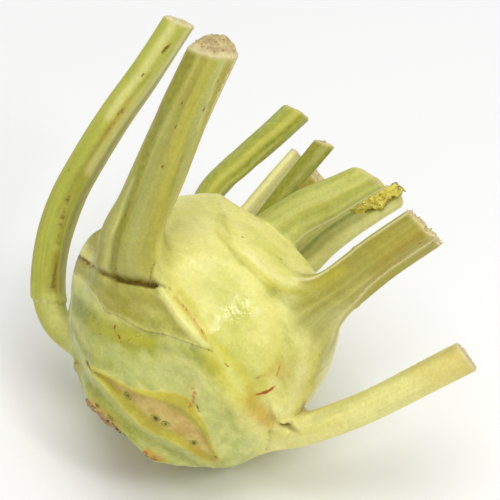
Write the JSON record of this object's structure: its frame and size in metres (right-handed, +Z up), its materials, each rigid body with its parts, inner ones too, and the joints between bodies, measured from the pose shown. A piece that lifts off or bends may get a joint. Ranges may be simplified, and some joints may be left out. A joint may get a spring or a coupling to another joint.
{
  "type": "kohlrabi",
  "caption": "Kohlrabi lying on its side: a round swollen stem with curved leaf stalks cut short, a long leaf scar and a corky root cut.",
  "frame": {"origin": "middle of the small flat spot that the stem rests on", "axes": "+Z up; the stem axis leans back and to the right, its crown at +X +Y, its front leaf scar towards -Y"},
  "size_m": [0.1465, 0.1358, 0.1566],
  "materials": {
    "flesh_skin": "pale yellow-green waxy skin, softly glossy",
    "cork": "dull corky brown",
    "stalk_pale": "pale waxy stalk skin",
    "stalk_olive": "olive waxy stalk skin",
    "stalk_green": "green waxy stalk skin",
    "leaf_blade": "matt yellowed leaf"
  },
  "bodies": {
    "root": {"bulb": "flesh_skin", "root_cut": "cork", "stalk_1": "stalk_pale", "stalk_2": "stalk_pale", "stalk_3": "stalk_olive", "stalk_4": "stalk_green", "stalk_5": "stalk_olive", "stalk_6": "stalk_green", "stalk_7": "stalk_green", "stalk_8": "stalk_pale", "stalk_9": "stalk_pale", "stalk_10": "stalk_green", "crown_bud": "stalk_green", "blade_scrap": "leaf_blade"}
  },
  "joints": []
}
